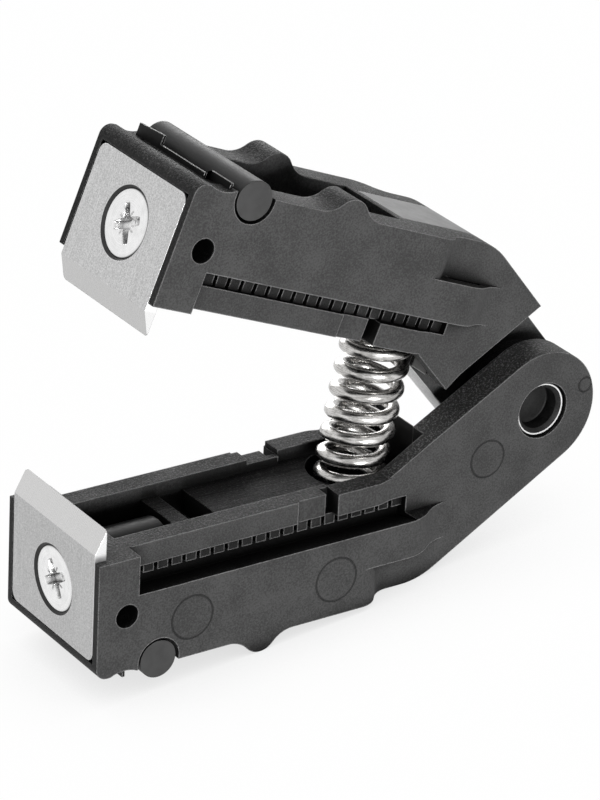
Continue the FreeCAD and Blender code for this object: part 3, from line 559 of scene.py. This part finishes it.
# countersunk screw: a flat face with a quarter-round rim and a cone, turned round the screw's line. The face sinks by
# a wall in each arm's width times a stop in its length, for the cross recess and the four short ticks between its arms
def makeScrew(jaw):
    look = screwLook
    upper = jaw == "upper"
    angle = lay["tilt"] + (lay["open"] if upper else 0.0)
    along = (math.cos(angle), 0.0, -math.sin(angle))
    start = jawPoint(0.0, lay["screwDepth"], upper)
    spin = look["turns"][jaw]

    def sink(across, up, deep):
        u = across * math.cos(spin) + up * math.sin(spin)
        v = up * math.cos(spin) - across * math.sin(spin)
        arms = np.zeros_like(u)
        for a, b in ((u, v), (v, u)):
            far = np.abs(a)
            width = look["wide"] - 0.08 * far
            wall = 1.0 - smooth(np.abs(b), width - 0.00012, width + 0.00003)
            stop = 1.0 - smooth(far, look["half"] - 0.00055, look["half"])
            arms = np.maximum(arms, wall * stop * (1.0 - 0.35 * far / look["half"]))
        for a, b in ((u + v, u - v), (u - v, u + v)):
            far = np.abs(a) / math.sqrt(2)
            tick = (1.0 - smooth(np.abs(b) / math.sqrt(2), 0.00005, 0.00016)) * (1.0 - smooth(far, 0.00125, 0.0016))
            arms = np.maximum(arms, tick * 0.10)
        onFace = 1.0 - smooth(np.hypot(across, up), 0.0024, 0.0026)
        return deep + arms * onFace * look["deep"]

    radii = np.concatenate([np.linspace(0.00002, 0.0026, 66), np.linspace(0.0027, look["flat"], 6)])
    outline = [(look["face"], r) for r in radii]
    bend = np.linspace(0.0, math.pi / 2, 7)[1:]
    drop = look["rim"] - look["flat"]
    outline += [(look["face"] + drop * (1 - math.cos(b)), look["flat"] + drop * math.sin(b)) for b in bend]
    cone = look["face"] + drop + look["rim"] - look["neck"]  # the cone falls at 45 degrees
    outline += [(cone, look["neck"]), (look["tip"], look["neck"]), (look["tip"], 0.00002)]
    points = turnedPoints(outline, start, along, (0.0, 1.0, 0.0), look["sides"], sink)
    piece = gridMesh(jaw + "ScrewHead", points, materials[jaw + "_screw"], sharp=math.radians(32), caps=True)
    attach(piece, jaw + "_body")
    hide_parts(jaw + "_screw")


pinLook = {"half": 0.00633, "sunk": 0.00040, "radius": 0.00299, "rim": 0.00284, "mouth": 0.00262, "socket": 0.00225,
           "mouthDeep": 0.0008, "deep": 0.0024, "sides": 160}


# hinge pin, turned round the hinge line: at each end a narrow rim, a cone and a flat-bottomed socket
def makePin():
    look = pinLook
    end = look["half"] - look["sunk"]
    half = [
        (look["half"] - look["deep"], 0.00002), (look["half"] - look["deep"], look["socket"] - 0.00012),
        (look["half"] - look["deep"] + 0.00008, look["socket"]), (look["half"] - look["mouthDeep"], look["socket"]),
        (end - 0.00006, look["mouth"]), (end, look["rim"] - 0.00010), (end, look["rim"] + 0.00004),
        (end - 0.00012, look["radius"])]
    outline = [(-a, r) for a, r in half] + [(a, r) for a, r in reversed(half)]
    points = turnedPoints(outline, lay["hinge"], (0.0, 1.0, 0.0), (1.0, 0.0, 0.0), look["sides"])
    piece = gridMesh("hingePin", points, materials["pivot_pin"], sharp=math.radians(28), caps=True)
    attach(piece, "lower_body")
    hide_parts("pivot_pin")


clipLook = {
    "front": 0.00300, "thick": 0.0003, "foot": 0.0134, "shelf": 0.0154,
    # place across the jaw, depth of the tip and reach of the tab's back
    "stations": ((-0.0076, 0.0167, 0.0038), (-0.0034, 0.0169, 0.0038), (-0.0034, 0.01595, 0.0038),
                 (0.0044, 0.01595, 0.0038), (0.0044, 0.0163, 0.0045), (0.0078, 0.0163, 0.0045)),
}


# spring-steel clip in front of the roller: an L section of foot and tab carried straight from station to station
def makeClip(jaw):
    look = clipLook
    upper = jaw == "upper"
    thick, front = look["thick"], look["front"]
    rings = []
    foot, shelf = look["foot"], look["shelf"]
    for across, tip, back in look["stations"]:
        section = [(front, foot), (front, shelf - 0.0001), (front + 0.0001, shelf), (back - thick, shelf + 0.00002),
                   (back - thick, tip), (back, tip), (back, shelf - thick), (front + thick, shelf - thick),
                   (front + thick, foot)]
        rings.append([jawPoint(reach, depth, upper) + np.array((0.0, -across if upper else across, 0.0))
                      for reach, depth in section])
    piece = gridMesh(jaw + "RollerClip", np.array(rings), materials["clip"], sharp=math.radians(30), caps=True)
    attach(piece, jaw + "_body")
    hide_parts(jaw + "_clip")


makeClip("lower")
makeClip("upper")
makeSpring()
makeScrew("lower")
makeScrew("upper")
makePin()
print("clips, spring, screws and hinge pin made")


# the photograph's viewpoint, solved from the block's own corners, in millimetres of the lower jaw's own frame;
# scale brings them to the part's size
camera = {
    "azimuth": 0.612, "elevation": 0.446, "roll": 0.053, "distance": 416.217, "target": (125.908, 0.0, 74.044),
    "hinge": (152.366, 0.0, 69.565), "scale": 0.97571, "focal": 4085.757, "tall": 800.0, "film": 36.0,
}


def photoCamera():
    c = camera
    outward = Vector((-math.cos(c["elevation"]) * math.sin(c["azimuth"]),
                      -math.cos(c["elevation"]) * math.cos(c["azimuth"]), math.sin(c["elevation"])))
    forward = -outward
    right = forward.cross(Vector((0, 0, 1))).normalized()
    up = right.cross(forward)
    cosine, sine = math.cos(c["roll"]), math.sin(c["roll"])
    rightTurned = right * cosine + up * sine
    upTurned = up * cosine - right * sine
    eye = (Vector(c["target"]) + outward * c["distance"] - Vector(c["hinge"])) * (c["scale"] / 1000.0)
    tilt = Matrix.Rotation(lay["tilt"], 3, "Y")
    turn = Matrix((rightTurned, upTurned, -forward)).transposed()
    place = (tilt @ turn).to_4x4()
    place.translation = tilt @ eye + Vector(lay["hinge"])
    data = bpy.data.cameras.new("photoView")
    data.sensor_width = c["film"]
    data.lens = c["focal"] * c["film"] / c["tall"]
    data.clip_start = 0.01
    data.clip_end = 20.0
    seer = bpy.data.objects.new("photoView", data)
    bpy.context.scene.collection.objects.link(seer)
    seer.matrix_world = place
    bpy.context.scene.camera = seer


photoCamera()
bpy.context.scene.view_settings.view_transform = "Standard"

stageLook = {"floor": 0.80, "half": 3.0, "world": 0.03, "glow": 0.995, "contact": 0.72, "reach": 0.020}


# pale floor and backdrop: white where the camera or a mirror sees them, with a painted soft shadow round the object's
# feet and a faint share of the lamp-lit floor kept
def makeStage():
    half = stageLook["half"]
    mesh = bpy.data.meshes.new("floor")
    mesh.from_pydata([(-half, -half, 0), (half, -half, 0), (half, half, 0), (-half, half, 0)], [], [(0, 1, 2, 3)])
    floor = bpy.data.objects.new("floor", mesh)
    floor.location.z = -0.00005
    bpy.context.scene.collection.objects.link(floor)
    shade = Finish("paleFloor", specular=0.1)
    level = stageLook["floor"]
    mottle = shade.noise(14.0, 3.0)
    material = shade.finish(shade.colourMix(mottle, grey(level), grey(level + 0.02)), 0.9)
    seen = shade.seen()
    contact = shade.open(stageLook["reach"]).ramp(0.0, 0.85, stageLook["contact"], 1.0)  # painted soft shadow at the feet
    white = shade.colourMix(contact, grey(0.0), grey(1.0))
    glow = shade.add("ShaderNodeEmission", {}, {"Color": white, "Strength": 1.0})
    lit = Wire(shade, shade.shader.outputs[0])
    mix = shade.add("ShaderNodeMixShader", {}, {0: seen * stageLook["glow"], 1: lit, 2: glow})
    output = [node for node in shade.nodes if node.type == "OUTPUT_MATERIAL"][0]
    shade.links.new(mix.socket, output.inputs["Surface"])
    floor.data.materials.append(material)
    world = bpy.data.worlds.new("studio")
    world.use_nodes = True
    bpy.context.scene.world = world
    sky = Finish.ofTree(world.node_tree)
    light = sky.add("ShaderNodeBackground", {}, {"Color": grey(1.0), "Strength": stageLook["world"]})
    plain = sky.add("ShaderNodeBackground", {}, {"Color": grey(1.0), "Strength": 1.0})
    mix = sky.add("ShaderNodeMixShader", {}, {0: sky.seen(), 1: light, 2: plain})
    sky.links.new(mix.socket, sky.nodes["World Output"].inputs["Surface"])


makeStage()

lamps = {
    "mainPanel": {"place": (-0.10, -0.58, 0.06), "size": 0.20, "power": 4.9},
    "sidePanel": {"place": (-0.60, -0.05, 0.14), "size": 0.40, "power": 0.12},
    "rearPanel": {"place": (0.22, 0.60, 0.06), "size": 0.50, "power": 4.5},
}


def makeLamps():
    aim = Vector((0.0, 0.0, 0.025))
    for name, setting in lamps.items():
        data = bpy.data.lights.new(name, "AREA")
        data.shape = "SQUARE"
        data.size = setting["size"]
        data.energy = setting["power"]
        lamp = bpy.data.objects.new(name, data)
        bpy.context.scene.collection.objects.link(lamp)
        lamp.location = setting["place"]
        lamp.rotation_euler = (aim - Vector(setting["place"])).to_track_quat("-Z", "Y").to_euler()


makeLamps()
print("stage, lamps and camera set")
